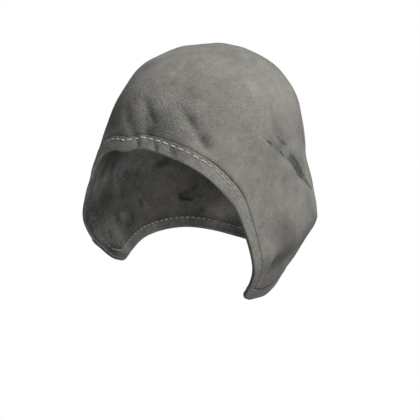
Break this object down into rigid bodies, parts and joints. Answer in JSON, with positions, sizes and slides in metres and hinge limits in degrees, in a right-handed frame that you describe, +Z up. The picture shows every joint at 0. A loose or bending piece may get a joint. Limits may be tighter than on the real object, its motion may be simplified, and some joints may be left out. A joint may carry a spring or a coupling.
{
  "type": "linen hood",
  "caption": "Loose cloth hood over the crown, ears and nape, open at the face and neck, with pointed cheek flaps and sewn hem strips.",
  "frame": {"origin": "the inside of the crown, where the hood sits on the head", "axes": "+Z up out of the crown, the face opening looks along -Y, +X towards the wearer's left ear"},
  "size_m": [0.1932, 0.2003, 0.2078],
  "materials": {
    "linen": "heavy brushed linen, warm grey, softly mottled, with a fine grain",
    "hem_linen": "the same linen in turned strips, a little paler where it is pressed",
    "stitching": "off-white linen thread, matt"
  },
  "bodies": {
    "root": {"hood_body": "linen", "face_hem": "hem_linen", "neck_hem": "hem_linen"}
  },
  "joints": []
}
